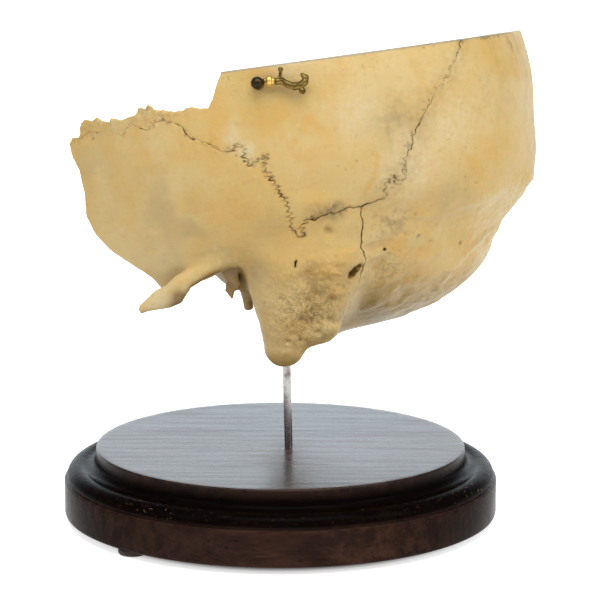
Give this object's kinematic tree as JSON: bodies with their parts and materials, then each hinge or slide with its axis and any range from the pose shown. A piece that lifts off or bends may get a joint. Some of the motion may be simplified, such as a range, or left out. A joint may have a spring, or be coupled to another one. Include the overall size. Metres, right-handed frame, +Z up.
{
  "type": "partial human skull on a stand",
  "caption": "Left rear quarter of a human braincase on a steel rod over a turned dark wood base, with a small brass hook latch beside the saw cut.",
  "frame": {"origin": "centre of the wooden base's flat underside, 2 mm above the floor that the three pads stand on", "axes": "+Z up; -Y towards the side of the skull that the picture shows, so -Y is the skull's left side; +X towards the back of the skull"},
  "size_m": [0.1408, 0.127, 0.1406],
  "materials": {
    "bone": "dry aged bone, satin",
    "dark_walnut": "dark stain, semi-gloss",
    "rubber": "matte",
    "steel": "bright drawn",
    "antique_brass": "antique, worn"
  },
  "bodies": {
    "specimen": {"temporal_bone": "bone", "parietal_bone": "bone", "occipital_bone": "bone", "base": "dark_walnut", "pad_1": "rubber", "pad_2": "rubber", "pad_3": "rubber", "rod": "steel", "hook_screw": "antique_brass"},
    "hook": {"hook": "antique_brass"}
  },
  "joints": [
    {"name": "hook_swing", "type": "hinge", "parent": "specimen", "child": "hook", "pos_m": [-0.00623, -0.01195, 0.12695], "axis": [-0.0948, -0.9652, 0.2436], "range_deg": [-90, 100]}
  ]
}
